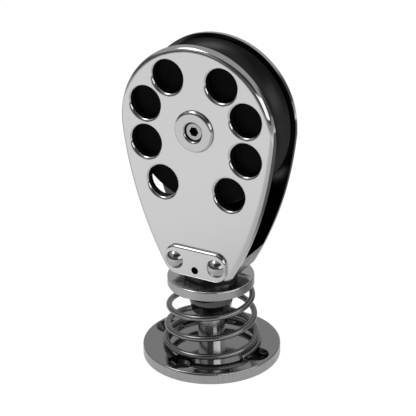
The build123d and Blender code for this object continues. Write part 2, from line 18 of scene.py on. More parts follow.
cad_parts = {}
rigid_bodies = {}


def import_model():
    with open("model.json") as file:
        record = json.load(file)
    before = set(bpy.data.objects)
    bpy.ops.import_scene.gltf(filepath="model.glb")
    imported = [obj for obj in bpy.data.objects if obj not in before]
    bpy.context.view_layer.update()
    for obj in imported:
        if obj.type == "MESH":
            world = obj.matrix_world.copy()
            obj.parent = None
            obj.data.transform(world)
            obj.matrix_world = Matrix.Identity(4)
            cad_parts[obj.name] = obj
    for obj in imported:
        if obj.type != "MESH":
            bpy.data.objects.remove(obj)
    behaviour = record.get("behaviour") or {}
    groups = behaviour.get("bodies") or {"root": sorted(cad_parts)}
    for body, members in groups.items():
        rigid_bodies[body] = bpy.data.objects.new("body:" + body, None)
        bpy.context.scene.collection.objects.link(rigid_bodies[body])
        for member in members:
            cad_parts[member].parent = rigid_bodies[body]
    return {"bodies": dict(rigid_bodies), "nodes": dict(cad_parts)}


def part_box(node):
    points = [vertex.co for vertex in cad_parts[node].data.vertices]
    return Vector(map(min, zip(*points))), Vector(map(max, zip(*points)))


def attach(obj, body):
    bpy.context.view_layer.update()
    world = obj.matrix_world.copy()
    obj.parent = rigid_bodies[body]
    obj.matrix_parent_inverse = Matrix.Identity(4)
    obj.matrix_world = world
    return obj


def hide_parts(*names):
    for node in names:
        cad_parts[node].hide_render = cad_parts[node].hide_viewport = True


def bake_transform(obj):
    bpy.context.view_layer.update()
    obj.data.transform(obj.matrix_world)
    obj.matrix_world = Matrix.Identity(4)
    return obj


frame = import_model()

MM = 0.001
LEAST_AREA = 1e-14
LOG = logging.getLogger("stand_up_block")

# A noise lies nearly all in this range
NOISE_RANGE = {"From Min": 0.3, "From Max": 0.7}
# Sizes of the normal's part along an axis, between which a surface turns into a flat plate's face,
# a level cut or a buffed end
PLATE_FACE = (0.97, 0.995)
LEVEL_CUT = (0.92, 0.98)
BUFFED_END = (0.05, 0.3)

Colour = tuple[float, float, float, float]
Inputs = dict[str | int, object]
Tree = bpy.types.NodeTree
Socket = bpy.types.NodeSocket
Paint = Socket | Colour


class Slot(Enum):
    """Material slots of the record that new pieces take their finish from."""

    SPRING = "spring_steel"
    SHEAVE = "black_sheave"


def linear(hex_colour: str) -> Colour:
    """Turn an sRGB hex colour into linear light.

    Args:
        hex_colour: A colour written as "#RRGGBB".

    Returns:
        Red, green, blue and a full alpha, in linear light.
    """
    channels = [int(hex_colour[start : start + 2], 16) / 255 for start in (1, 3, 5)]
    light = [c / 12.92 if c <= 0.04045 else ((c + 0.055) / 1.055) ** 2.4 for c in channels]
    return (*light, 1.0)


def grey(level: float) -> Colour:
    """A level of light as a colour without hue."""
    return (level, level, level, 1.0)


def add_node(tree: Tree, kind: str, inputs: Inputs | None = None, **settings: object) -> bpy.types.Node:
    """Add one shader node with its settings, values and links.

    Args:
        tree: The node tree that gets the node.
        kind: The node's type name.
        inputs: A value or another node's output for each input, by its name or number.
        **settings: Attributes of the node itself.

    Returns:
        The new node.
    """
    node = tree.nodes.new(kind)
    for name, value in settings.items():
        setattr(node, name, value)
    for name, value in (inputs or {}).items():
        if isinstance(value, Socket):
            tree.links.new(value, node.inputs[name])
        else:
            node.inputs[name].default_value = value
    return node


@dataclass
class Patch:
    """One grid of surface points with the outward direction at each point.

    Attributes:
        points: Places in metres, rows by columns by 3.
        normals: Unit vectors, rows by columns by 3.
        uv: Pattern coordinates, rows by columns by 2.
    """

    points: np.ndarray
    normals: np.ndarray
    uv: np.ndarray

    def triangles(self) -> np.ndarray:
        """Split each cell of the grid into two triangles that face outwards.

        Returns:
            Vertex numbers, three to a triangle, without the ones that have no area.
        """
        rows, columns = self.points.shape[:2]
        number = np.arange(rows * columns).reshape(rows, columns)
        a, b = number[:-1, :-1].ravel(), number[:-1, 1:].ravel()
        c, d = number[1:, 1:].ravel(), number[1:, :-1].ravel()
        found = np.concatenate([np.stack([a, b, c], 1), np.stack([a, c, d], 1)])
        places = self.points.reshape(-1, 3)[found]
        outward = self.normals.reshape(-1, 3)[found].sum(1)
        across = np.cross(places[:, 1] - places[:, 0], places[:, 2] - places[:, 0])
        inside_out = (across * outward).sum(1) < 0
        found[inside_out] = found[inside_out][:, ::-1]
        return found[np.linalg.norm(across, axis=1) > LEAST_AREA]


def surface_object(name: str, patches: list[Patch]) -> bpy.types.Object:
    """Put patches into one mesh with their own shading normals and pattern coordinates.

    Args:
        name: The new piece's name.
        patches: The grids that close the piece.

    Returns:
        The piece, linked to the scene, at the origin.
    """
    counts = [patch.points.shape[0] * patch.points.shape[1] for patch in patches]
    starts = np.concatenate([[0], np.cumsum(counts)[:-1]])
    places = np.concatenate([patch.points.reshape(-1, 3) for patch in patches])
    normals = np.concatenate([patch.normals.reshape(-1, 3) for patch in patches])
    pattern = np.concatenate([patch.uv.reshape(-1, 2) for patch in patches])
    faces = np.concatenate([patch.triangles() + start for patch, start in zip(patches, starts)])
    mesh = bpy.data.meshes.new(name)
    mesh.vertices.add(len(places))
    mesh.vertices.foreach_set("co", places.astype(np.float32).ravel())
    mesh.loops.add(faces.size)
    mesh.loops.foreach_set("vertex_index", faces.astype(np.int32).ravel())
    mesh.polygons.add(len(faces))
    mesh.polygons.foreach_set("loop_start", np.arange(0, faces.size, 3, dtype=np.int32))
    mesh.update(calc_edges=True)
    mesh.polygons.foreach_set("use_smooth", np.ones(len(faces), dtype=bool))
    layer = mesh.uv_layers.new(name="pattern")
    layer.data.foreach_set("uv", pattern[faces.ravel()].astype(np.float32).ravel())
    mesh.normals_split_custom_set_from_vertices(normals.tolist())
    mesh.validate()
    piece = bpy.data.objects.new(name, mesh)
    bpy.context.scene.collection.objects.link(piece)
    return piece


@dataclass(frozen=True)
class Finish:
    """A real surface finish, built as one procedural material.

    Attributes:
        name: The material's name.
        colour: sRGB hex colour of the bare surface.
        metallic: 1 for metal, 0 for plastic.
        roughness: The finish's middle roughness.
        spread: How far the roughness strays from the middle, from patch to patch.
        cloud: Size of those patches, in millimetres.
        relief: Depth of the tool marks, in millimetres.
        specular: Strength of the bare shine of plastic, 0.5 for a clean surface.
        anisotropy: How far a turned surface draws its reflections out across the cuts.
    """

    name: str
    colour: str
    metallic: float
    roughness: float
    spread: float
    cloud: float
    relief: float
    specular: float = 0.5
    anisotropy: float = 0.0

    def marks(self, tree: Tree, place: Socket) -> Socket:
        """Draw the tool marks as a height from 0 to 1: here the fine grain that polishing leaves.

        Args:
            tree: The material's node tree.
            place: Object coordinates, in metres.

        Returns:
            The socket that carries the height.
        """
        size = 2.5 * MM
        grain = add_node(tree, "ShaderNodeTexNoise", {"Vector": place, "Scale": 1 / size, "Detail": 3.0})
        return grain.outputs["Fac"]

    def gloss(self, tree: Tree, place: Socket) -> Socket:
        """Spread the roughness in soft patches.

        Args:
            tree: The material's node tree.
            place: Object coordinates, in metres.

        Returns:
            The socket that carries the roughness.
        """
        size = self.cloud * MM
        cloud = add_node(tree, "ShaderNodeTexNoise", {"Vector": place, "Scale": 1 / size, "Detail": 2.0})
        ends = {"To Min": self.roughness - self.spread, "To Max": self.roughness + self.spread}
        spread = add_node(tree, "ShaderNodeMapRange", {"Value": cloud.outputs["Fac"], **NOISE_RANGE, **ends})
        return spread.outputs["Result"]

    def tint(self, tree: Tree, place: Socket) -> Socket | None:
        """Colour that varies over the surface, or None where it doesn't."""
        return None

    def build(self) -> bpy.types.Material:
        """Build the material: one shader with its marks, gloss and tint, and its other values bare.

        A quarter turn of the anisotropy draws the reflections out across the cuts, not along them.

        Returns:
            The material, ready to be put into a slot.
        """
        material = bpy.data.materials.new(self.name)
        material.use_nodes = True
        tree = material.node_tree
        tree.nodes.clear()
        place = add_node(tree, "ShaderNodeTexCoord").outputs["Object"]
        height = self.marks(tree, place)
        depth = self.relief * MM
        bump = add_node(tree, "ShaderNodeBump", {"Height": height, "Distance": depth, "Strength": 1.0})
        inputs = {
            "Base Color": linear(self.colour),
            "Metallic": self.metallic,
            "Roughness": self.gloss(tree, place),
            "Normal": bump.outputs["Normal"],
            "Specular IOR Level": self.specular,
            "Anisotropic": self.anisotropy,
            "Anisotropic Rotation": 0.25,
        }
        if self.anisotropy:
            around = add_node(tree, "ShaderNodeTangent", direction_type="RADIAL", axis="Z")
            inputs["Tangent"] = around.outputs["Tangent"]
        shader = add_node(tree, "ShaderNodeBsdfPrincipled", inputs)
        tint = self.tint(tree, place)
        if tint is not None:
            tree.links.new(tint, shader.inputs["Base Color"])
        add_node(tree, "ShaderNodeOutputMaterial", {"Surface": shader.outputs["BSDF"]})
        return material


def facing(tree: Tree, axis: str, least: float, most: float) -> Socket:
    """How squarely the surface faces along an axis of the block, either way.

    Args:
        tree: The material's node tree.
        axis: "X", "Y" or "Z".
        least: Size of the normal's part along the axis that gives 0.
        most: Size that gives 1.

    Returns:
        The socket that carries the share, from 0 to 1.
    """
    normal = add_node(tree, "ShaderNodeTexCoord").outputs["Normal"]
    parts = add_node(tree, "ShaderNodeSeparateXYZ", {"Vector": normal})
    size = add_node(tree, "ShaderNodeMath", {0: parts.outputs[axis]}, operation="ABSOLUTE")
    share = add_node(
        tree,
        "ShaderNodeMapRange",
        {"Value": size.outputs[0], "From Min": least, "From Max": most},
        interpolation_type="SMOOTHSTEP",
    )
    return share.outputs["Result"]


def layered(tree: Tree, ground: Paint, *coats: tuple[Socket, Paint]) -> Socket:
    """Lay coats of colour over a ground, one after the other.

    Args:
        tree: The node tree that gets them.
        ground: Colour where no coat shows.
        *coats: How much of each coat shows, from 0 to 1, and its colour.

    Returns:
        The socket that carries the colour.
    """
    for share, colour in coats:
        mixed = add_node(tree, "ShaderNodeMix", {0: share, 6: ground, 7: colour}, data_type="RGBA")
        ground = mixed.outputs[2]
    return ground


@dataclass(frozen=True)
class MirrorPolishedStainless(Finish):
    """Stainless plate, buffed: its edges are a sharp mirror, its flat face has a soft sheen.

    The plate's inner face, towards the block's middle plane, gets a dark colour: painted shade, where shade
    falls between the cheeks.

    Attributes:
        face_roughness: Roughness of the flat face.
        painted_shade_colour: sRGB hex colour of the painted shade.
        painted_shade_depth: Distance from the block's middle plane under which the shade is painted, in
            millimetres.
    """

    name: str = "mirror_polished_stainless"
    colour: str = "#D4D4D4"
    metallic: float = 1.0
    roughness: float = 0.06
    spread: float = 0.02
    cloud: float = 9.0
    relief: float = 0.0012
    face_roughness: float = 0.2
    # Painted shade for the inner face, where shade falls between the cheeks
    painted_shade_colour: str = "#494949"
    painted_shade_depth: float = 11.6

    def gloss(self, tree: Tree, place: Socket) -> Socket:
        """Raise the roughness of the mirror edges on the flat face.

        Args:
            tree: The material's node tree.
            place: Object coordinates, in metres.

        Returns:
            The socket that carries the roughness.
        """
        shares = {0: facing(tree, "Y", *PLATE_FACE), 2: super().gloss(tree, place), 3: self.face_roughness}
        return add_node(tree, "ShaderNodeMix", shares, data_type="FLOAT").outputs[0]

    def tint(self, tree: Tree, place: Socket) -> Socket | None:
        """Lay the painted shade colour over the steel's own below its depth.

        Args:
            tree: The material's node tree.
            place: Object coordinates, in metres.

        Returns:
            The socket that carries the colour.
        """
        # Painted shade: everything nearer the middle plane than the depth takes the shade colour
        parts = add_node(tree, "ShaderNodeSeparateXYZ", {"Vector": place})
        depth = add_node(tree, "ShaderNodeMath", {0: parts.outputs["Y"]}, operation="ABSOLUTE")
        edge, soft = self.painted_shade_depth * MM, 0.2 * MM
        dark = add_node(
            tree,
            "ShaderNodeMapRange",
            {"Value": depth.outputs[0], "From Min": edge, "From Max": edge - soft},
            interpolation_type="SMOOTHSTEP",
        )
        return layered(tree, linear(self.colour), (dark.outputs["Result"], linear(self.painted_shade_colour)))


@dataclass(frozen=True)
class PolishedStrap(MirrorPolishedStainless):
    """The strap on the cheek's foot, buffed before it was riveted on; it gets none of the plate's painted
    shade, so its colour is even.
    """

    name: str = "mirror_polished_strap"

    def tint(self, tree: Tree, place: Socket) -> Socket | None:
        """No tint: the strap has one colour."""
        return None


@dataclass(frozen=True)
class HeadedRivet(Finish):
    """Stainless rivet, its head pressed and lightly buffed: greyer than the plate, with sharp spots."""

    name: str = "headed_rivet_stainless"
    colour: str = "#B7B7B7"
    metallic: float = 1.0
    roughness: float = 0.12
    spread: float = 0.03
    cloud: float = 4.0
    relief: float = 0.002


@dataclass(frozen=True)
class TurnedStainless(Finish):
    """Stainless turned on a lathe: the flat end is buffed, the side keeps a satin grain.

    The cuts run round the part, so the side draws its reflections out upwards into soft upright
    bands. Upright streaks about 1 mm wide help those bands to show, where the cuts are too fine to.

    Attributes:
        side_colour: sRGB hex colour of the satin side, darker because its grain scatters light.
        side_roughness: Roughness of the satin side.
        axis_shade_colour: sRGB hex colour of the painted shade on the faces near the axis that aren't level.
        axis_shade_reach: How far from the axis the painted shade reaches, in millimetres.
    """

    name: str = "turned_stainless"
    colour: str = "#D0D0D0"
    metallic: float = 1.0
    roughness: float = 0.16
    spread: float = 0.04
    cloud: float = 7.0
    relief: float = 0.002
    anisotropy: float = 0.6
    side_colour: str = "#B3B3B3"
    side_roughness: float = 0.3
    # Painted shade: faces near the axis that aren't level take this dark colour, where they lie in shade
    # under the parts above
    axis_shade_colour: str = "#343434"
    axis_shade_reach: float = 21.0

    def grain(self, tree: Tree, place: Socket) -> Socket:
        """Upright streaks of the satin side: noise stretched along Z.

        Args:
            tree: The material's node tree.
            place: Object coordinates, in metres.

        Returns:
            The socket that carries the streaks, from 0 to 1.
        """
        size, stretch = 1.1 * MM, 0.06
        upright = add_node(tree, "ShaderNodeMapping", {"Vector": place, "Scale": (1.0, 1.0, stretch)})
        noise = {"Vector": upright.outputs["Vector"], "Scale": 1 / size, "Detail": 3.0}
        return add_node(tree, "ShaderNodeTexNoise", noise).outputs["Fac"]

    def marks(self, tree: Tree, place: Socket) -> Socket:
        """Keep the height of the streaks to the side.

        Args:
            tree: The material's node tree.
            place: Object coordinates, in metres.

        Returns:
            The socket that carries the height.
        """
        shares = {0: facing(tree, "Z", *BUFFED_END), 2: self.grain(tree, place), 3: 0.5}
        return add_node(tree, "ShaderNodeMix", shares, data_type="FLOAT").outputs[0]

    def gloss(self, tree: Tree, place: Socket) -> Socket:
        """Lower the roughness of the satin side on the buffed face.

        Args:
            tree: The material's node tree.
            place: Object coordinates, in metres.

        Returns:
            The socket that carries the roughness.
        """
        face = super().gloss(tree, place)
        shares = {0: facing(tree, "Z", *BUFFED_END), 2: self.side_roughness, 3: face}
        return add_node(tree, "ShaderNodeMix", shares, data_type="FLOAT").outputs[0]

    def tint(self, tree: Tree, place: Socket) -> Socket | None:
        """Lay the buffed end's colour over the streaked side's, and the painted shade colour near the axis.

        The side's colour goes a little down and up with its streaks. Level faces get no painted shade.

        Args:
            tree: The material's node tree.
            place: Object coordinates, in metres.

        Returns:
            The socket that carries the colour.
        """
        ends = {"To Min": 0.93, "To Max": 1.06}
        grain = {"Value": self.grain(tree, place), **NOISE_RANGE, **ends}
        streaks = add_node(tree, "ShaderNodeMapRange", grain)
        side = add_node(
            tree,
            "ShaderNodeVectorMath",
            {0: linear(self.side_colour)[:3], "Scale": streaks.outputs["Result"]},
            operation="SCALE",
        )
        # Painted shade: near the axis, faces that aren't level take the shade colour
        plan = {0: place, 1: (1.0, 1.0, 0.0)}
        flattened = add_node(tree, "ShaderNodeVectorMath", plan, operation="MULTIPLY")
        reach = add_node(tree, "ShaderNodeVectorMath", {0: flattened.outputs[0]}, operation="LENGTH")
        near = {0: reach.outputs["Value"], 1: self.axis_shade_reach * MM}
        inside = add_node(tree, "ShaderNodeMath", near, operation="LESS_THAN")
        sloped = {0: inside.outputs[0], 1: facing(tree, "Z", *LEVEL_CUT)}
        cut = add_node(tree, "ShaderNodeMath", sloped, operation="SUBTRACT", use_clamp=True)
        end = (facing(tree, "Z", *BUFFED_END), linear(self.colour))
        return layered(tree, side.outputs[0], end, (cut.outputs[0], linear(self.axis_shade_colour)))


@dataclass(frozen=True)
class TurnedDeckPlate(TurnedStainless):
    """The same for the deck plate, smoother and darker, with painted shade in its countersinks and screw
    holes.
    """

    name: str = "turned_deck_plate"
    colour: str = "#ACACAC"
    roughness: float = 0.08
    # Painted shade in the countersinks and screw holes
    axis_shade_colour: str = "#6B6B6B"
    axis_shade_reach: float = 38.6


@dataclass(frozen=True)
class ShadeDarkenedSteel(Finish):
    """Hardened steel of the ball's housing, smooth and even, coloured dark: painted shade, where the cup and
    the spring shade it.
    """

    name: str = "housing_steel_with_painted_shade"
    # Painted shade: this dark colour stands for the shade that the cup and the spring cast on the housing
    colour: str = "#5C5C5C"
    metallic: float = 1.0
    roughness: float = 0.1
    spread: float = 0.03
    cloud: float = 4.0
    relief: float = 0.002


@dataclass(frozen=True)
class PolishedPost(ShadeDarkenedSteel):
    """The post under it, turned and polished brighter: its reflections draw out into upright stripes."""

    name: str = "polished_post_steel"
    colour: str = "#E6E6E6"
    roughness: float = 0.14
    spread: float = 0.02
    anisotropy: float = 0.85


@dataclass(frozen=True)
class DrawnSpringWire(Finish):
    """Stainless spring wire as it leaves the die: grey, satin, with fine lines along its length.

    The lines follow the wire through the piece's own pattern coordinates, in millimetres along
    and around the wire. They are drawn about 0.5 mm wide so that they show.
    """

    name: str = "drawn_spring_wire"
    colour: str = "#8F8F8F"
    metallic: float = 1.0
    roughness: float = 0.2
    spread: float = 0.05
    cloud: float = 5.0
    relief: float = 0.003

    def marks(self, tree: Tree, place: Socket) -> Socket:
        """Draw the die lines: noise of one line to 0.5 mm, stretched to 25 mm along the wire.

        Args:
            tree: The material's node tree.
            place: Object coordinates, in metres.

        Returns:
            The socket that carries the height.
        """
        pattern = add_node(tree, "ShaderNodeUVMap", uv_map="pattern").outputs["UV"]
        along = add_node(tree, "ShaderNodeMapping", {"Vector": pattern, "Scale": (1 / 25, 1 / 0.5, 1.0)})
        noise = {"Vector": along.outputs["Vector"], "Scale": 1.0, "Detail": 2.0}
        return add_node(tree, "ShaderNodeTexNoise", noise).outputs["Fac"]


@dataclass(frozen=True)
class MachinedStainless(Finish):
    """Stainless screws and pins as machined: a soft shine, a little darker than the polished plate."""

    name: str = "machined_stainless"
    colour: str = "#BABABA"
    metallic: float = 1.0
    roughness: float = 0.2
    spread: float = 0.04
    cloud: float = 3.0
    relief: float = 0.003


@dataclass(frozen=True)
class DarkShadedPin(MachinedStainless):
    """The cross pin's end, sunk deep in its hole, coloured near black: painted shade, where shade fills the
    hole.
    """

    name: str = "pin_steel_with_painted_shade"
    # Painted shade: near black for the shade deep in the pin's hole
    colour: str = "#131313"
    roughness: float = 0.4


@dataclass(frozen=True)
class SunkCap(MirrorPolishedStainless):
    """The polished hub cap, with painted shade in its counterbore and in the seam round its foot."""

    name: str = "polished_cap_with_painted_shade"
    colour: str = "#C7C7C7"
    face_roughness: float = 0.16
    # Painted shade: near black in the counterbore and in the seam round the cap's foot
    painted_shade_colour: str = "#0E0E0E"
    painted_shade_depth: float = 16.55


@dataclass(frozen=True)
class SunkScrew(MirrorPolishedStainless):
    """The axle screw's head: machined steel, with painted shade in its hex socket and round its side."""

    name: str = "machined_screw_with_painted_shade"
    colour: str = "#B1B1B1"
    roughness: float = 0.12
    # Painted shade: near black in the hex socket and round the head's side, inside the recess
    painted_shade_colour: str = "#0E0E0E"
    painted_shade_depth: float = 16.2


@dataclass(frozen=True)
class MilledStainless(Finish):
    """Stainless block with a milled, unpolished surface: a dull grey sheen with straight marks. Its darker
    grey is partly painted shade, where the lug sits between the cheeks.
    """

    name: str = "milled_stainless"
    # Partly painted shade: the darker grey also stands for the shade between the cheeks
    colour: str = "#727272"
    metallic: float = 1.0
    roughness: float = 0.27
    spread: float = 0.05
    cloud: float = 4.0
    relief: float = 0.003

    def marks(self, tree: Tree, place: Socket) -> Socket:
        """Draw the milling marks: noise of 0.6 mm, stretched across the block.

        Args:
            tree: The material's node tree.
            place: Object coordinates, in metres.

        Returns:
            The socket that carries the height.
        """
        size, stretch = 0.6 * MM, 0.08
        across = add_node(tree, "ShaderNodeMapping", {"Vector": place, "Scale": (stretch, stretch, 1.0)})
        noise = {"Vector": across.outputs["Vector"], "Scale": 1 / size, "Detail": 2.0}
        return add_node(tree, "ShaderNodeTexNoise", noise).outputs["Fac"]


@dataclass(frozen=True)
class RopePolishedAcetal(Finish):
    """Black acetal turned on a lathe and rubbed by rope: a broad satin sheen with faint rings.

    The rings lie round the axle, and are drawn about 4.4 mm apart, coarser than real, to show.

    Attributes:
        hub: The axle's middle, in metres.
    """

    name: str = "rope_polished_black_acetal"
    colour: str = "#121212"
    metallic: float = 0.0
    roughness: float = 0.38
    spread: float = 0.04
    cloud: float = 12.0
    relief: float = 0.004
    specular: float = 0.45
    hub: tuple[float, float, float] = (0.0, 0.0, 0.0)

    def marks(self, tree: Tree, place: Socket) -> Socket:
        """Draw the turning rings: a wave of the distance from the axle, in the plane of the sheave.

        The node's wave runs through 20 radians in a unit where its scale is 1. Here a radian of it
        takes 0.7 mm, and so a ring 4.4 mm.

        Args:
            tree: The material's node tree.
            place: Object coordinates, in metres.

        Returns:
            The socket that carries the height.
        """
        radian, unit = 0.7 * MM, 20
        back = tuple(-value for value in self.hub)
        centred = add_node(tree, "ShaderNodeMapping", {"Vector": place, "Location": back})
        around = centred.outputs["Vector"]
        wave = {"Vector": around, "Scale": 1 / radian / unit, "Distortion": 0.6, "Detail": 2.0}
        rings = add_node(tree, "ShaderNodeTexWave", wave, wave_type="RINGS", rings_direction="Y")
        return rings.outputs["Fac"]


@dataclass(frozen=True)
class MattBlackAcetal(Finish):
    """Black acetal as sawn from the bar, on the sheave's sides: matt and nearly without shine."""

    name: str = "matt_black_acetal"
    colour: str = "#0A0A0A"
    metallic: float = 0.0
    roughness: float = 0.55
    spread: float = 0.05
    cloud: float = 8.0
    relief: float = 0.004
    specular: float = 0.06


@dataclass(frozen=True)
class MouldedBearingPlastic(Finish):
    """Dark moulded bearing plastic: matt, with a fine moulded grain."""

    name: str = "moulded_bearing_plastic"
    colour: str = "#242424"
    metallic: float = 0.0
    roughness: float = 0.5
    spread: float = 0.05
    cloud: float = 3.0
    relief: float = 0.004
    specular: float = 0.3


@dataclass(frozen=True)
class RoundProfile:
    """Outline of a turned surface, as patches of radius and axial place.

    Attributes:
        centre: A point on the axis, in metres.
        columns: How many steps go once round the axis.
    """

    centre: Vector
    columns: int

    def turned(self, radius: np.ndarray, along: np.ndarray, normal: np.ndarray) -> Patch:
        """Turn a stretch of the outline about the Y axis through the centre.

        A point at angle a lies at the centre plus radius times (cos a, 0, sin a) plus the axial
        place along Y, and its normal is turned in the same way.

        Args:
            radius: Radii of the outline's points, in metres.
            along: Places along the axis, in metres from the centre.
            normal: Outward direction at each point, as (radial, axial) pairs.

        Returns:
            The patch, closed round the axis.
        """
        angle = np.linspace(0, 2 * math.pi, self.columns + 1)[None, :]
        radius, along = radius[:, None], along[:, None]
        radial, axial = normal[:, 0][:, None], normal[:, 1][:, None]
        flat = np.zeros_like(angle)
        points = np.stack([radius * np.cos(angle), along + flat, radius * np.sin(angle)], 2)
        points += np.array(self.centre)
        normals = np.stack([radial * np.cos(angle), axial + flat, radial * np.sin(angle)], 2)
        turns = np.broadcast_to(angle / (2 * math.pi), points.shape[:2])
        reach = np.broadcast_to(np.linspace(0, 1, len(radius))[:, None], points.shape[:2])
        return Patch(points, normals, np.stack([turns, reach], 2))

    def straight(
        self, start: tuple[float, float], end: tuple[float, float], outward: tuple[float, float]
    ) -> Patch:
        """Turn a straight stretch.

        Args:
            start: Radius and axial place where it starts, in metres.
            end: Radius and axial place where it ends.
            outward: Outward direction, as a (radial, axial) pair.

        Returns:
            The patch.
        """
        share = np.linspace(0, 1, 3)
        radius = start[0] + share * (end[0] - start[0])
        along = start[1] + share * (end[1] - start[1])
        return self.turned(radius, along, np.broadcast_to(np.array(outward), (3, 2)))

    def arc(
        self, middle: tuple[float, float], radius: float, start: float, end: float, steps: int, side: int = 1
    ) -> Patch:
        """Turn an arc of a circle.

        Args:
            middle: Radius and axial place of the arc's own centre, in metres.
            radius: The arc's radius, in metres.
            start: Angle of its first point, in radians from the radial direction towards +Y.
            end: Angle of its last point.
            steps: How many rows it gets.
            side: 1 where the outside is away from the arc's centre, -1 in a groove.

        Returns:
            The patch.
        """
        angle = np.linspace(start, end, steps + 1)
        direction = np.stack([np.cos(angle), np.sin(angle)], 1)
        return self.turned(
            middle[0] + radius * direction[:, 0], middle[1] + radius * direction[:, 1], side * direction
        )


@dataclass
class Sheave:
    """The grooved wheel, with the small rounded edges that the solid leaves out.

    Attributes:
        side: Finish of its flat sides and bore.
        groove: Finish of its rim and groove.
        edge: Radius of the rim's rounded edges, in metres.
        land: Width of the flat rim beside the groove, in metres.
        depth: Depth of the groove, in metres.
        columns: How many steps go once round the axis.
        body: The body that carries it.
    """

    side: bpy.types.Material
    groove: bpy.types.Material
    edge: float = 0.35 * MM
    land: float = 1.0 * MM
    depth: float = 6.2 * MM
    columns: int = 256
    body: str = "wheel"

    def patches(self) -> tuple[list[Patch], list[Patch]]:
        """Work out the wheel's surface.

        The outline runs up one side, over the rounded rim, down through the groove's arc, over
        the other rim and back down. The groove's radius follows from its half width and depth.

        Returns:
            The patches of the flat sides and bore, and those of the rim and groove.
        """
        low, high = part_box("sheave")
        inner_low, inner_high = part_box("bearing_bush")
        centre = (low + high) / 2
        rim, half = (high.x - low.x) / 2, (high.y - low.y) / 2
        bore = (inner_high.x - inner_low.x) / 2
        span = half - self.land
        groove = (span**2 + self.depth**2) / (2 * self.depth)
        middle = rim - self.depth + groove
        opening = math.asin(span / groove)
        turn = RoundProfile(centre, self.columns)
        quarter = math.pi / 2
        edge, edge_rows, groove_rows = self.edge, 6, 40
        sides = [
            turn.straight((bore, -half), (bore, half), (-1.0, 0.0)),
            turn.straight((bore, half), (rim - edge, half), (0.0, 1.0)),
            turn.straight((bore, -half), (rim - edge, -half), (0.0, -1.0)),
        ]
        rims = [
            turn.arc((rim - edge, half - edge), edge, 0.0, quarter, edge_rows),
            turn.arc((rim - edge, edge - half), edge, -quarter, 0.0, edge_rows),
            turn.straight((rim, span), (rim, half - edge), (1.0, 0.0)),
            turn.straight((rim, edge - half), (rim, -span), (1.0, 0.0)),
            turn.arc((middle, 0.0), groove, math.pi - opening, math.pi + opening, groove_rows, side=-1),
        ]
        return sides, rims

    def build(self) -> list[bpy.types.Object]:
        """Build the wheel's mesh, dress it and let it ride on its body.

        Returns:
            The new pieces.
        """
        sides, rims = self.patches()
        piece = surface_object("turned_sheave", sides + rims)
        piece.data.materials.append(self.side)
        piece.data.materials.append(self.groove)
        faces = len(piece.data.polygons)
        plain = sum(len(patch.triangles()) for patch in sides)
        piece.data.polygons.foreach_set("material_index", (np.arange(faces) >= plain).astype(np.int32))
        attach(piece, self.body)
        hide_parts("sheave")
        return [piece]


